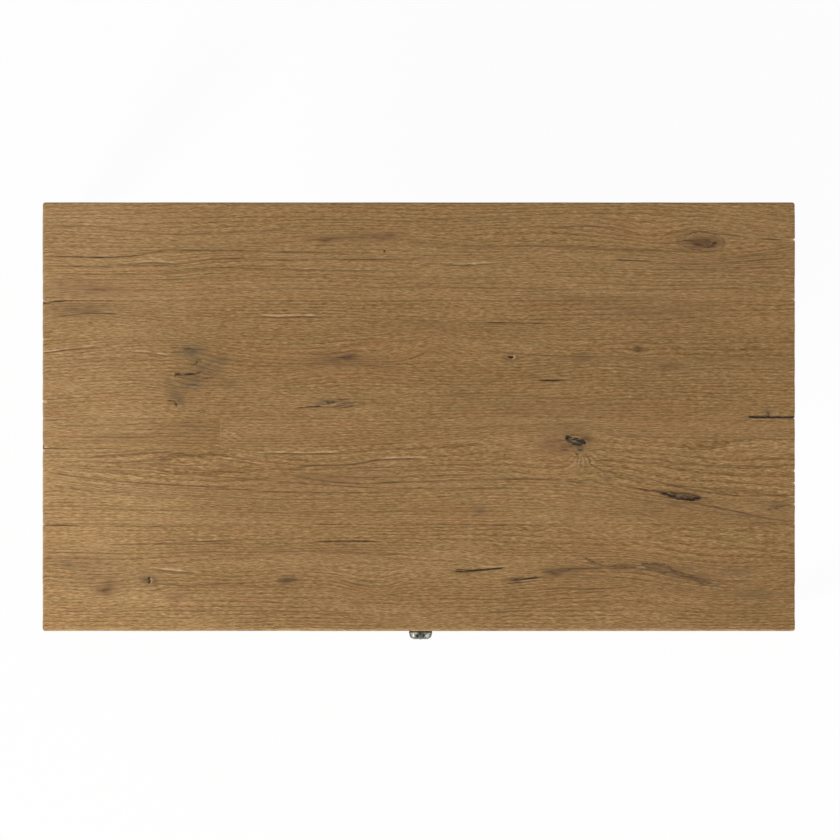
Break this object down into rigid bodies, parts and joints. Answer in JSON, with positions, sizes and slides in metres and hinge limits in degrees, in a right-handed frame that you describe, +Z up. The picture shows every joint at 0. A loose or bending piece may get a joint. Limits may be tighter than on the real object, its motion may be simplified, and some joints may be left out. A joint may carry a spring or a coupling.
{
  "type": "writing desk",
  "caption": "Small oak writing desk with a plank top, tapered legs and one shallow pencil drawer that slides on wooden runners and has a cast rosette knob.",
  "frame": {"origin": "on the floor, under the middle of the whole desk with its knob", "axes": "+X to the right along the front, +Y to the back, +Z up; the drawer opens towards -Y"},
  "size_m": [1.067, 0.6206, 0.762],
  "materials": {
    "oak_planks": "matt oiled oak planks with knots, checks and gouges",
    "oak_frame": "matt oiled oak",
    "inner_oak": "plain unfinished oak",
    "drawer_wood": "plain light wood, waxed",
    "antique_pewter": "aged pewter casting, rubbed bright on its high places",
    "screw_steel": "plain zinc plated steel"
  },
  "bodies": {
    "frame": {"top_board_1": "oak_planks", "top_board_2": "oak_planks", "top_board_3": "oak_planks", "top_board_4": "oak_planks", "let_in_strip": "oak_planks", "leg_front_left": "oak_frame", "leg_front_right": "oak_frame", "leg_back_left": "oak_frame", "leg_back_right": "oak_frame", "apron_left": "oak_frame", "apron_right": "oak_frame", "apron_back": "oak_frame", "front_rail_upper": "oak_frame", "front_rail_lower": "oak_frame", "drawer_post_left": "oak_frame", "drawer_post_right": "oak_frame", "front_panel_left": "oak_frame", "front_panel_right": "oak_frame", "board_spline_1": "inner_oak", "board_spline_2": "inner_oak", "board_spline_3": "inner_oak", "drawer_runner_left": "inner_oak", "drawer_runner_right": "inner_oak", "drawer_kicker_left": "inner_oak", "drawer_kicker_right": "inner_oak", "drawer_guide_left": "inner_oak", "drawer_guide_right": "inner_oak", "drawer_stops": "inner_oak", "top_batten_left": "inner_oak", "top_batten_right": "inner_oak", "top_buttons": "inner_oak", "tenon_pegs": "inner_oak", "batten_screws": "screw_steel", "button_screws": "screw_steel", "rail_screws": "screw_steel", "foot_glides": "screw_steel"},
    "drawer": {"drawer_front": "oak_frame", "drawer_side_left": "drawer_wood", "drawer_side_right": "drawer_wood", "drawer_back": "drawer_wood", "drawer_bottom": "drawer_wood", "pencil_divider": "drawer_wood", "drawer_bottom_screws": "screw_steel", "knob_bolt": "screw_steel", "knob": "antique_pewter", "knob_back_plate": "antique_pewter"}
  },
  "joints": [
    {"name": "drawer_slide", "type": "slide", "parent": "frame", "child": "drawer", "axis": [0, -1, 0], "range_m": [0, 0.35]}
  ]
}
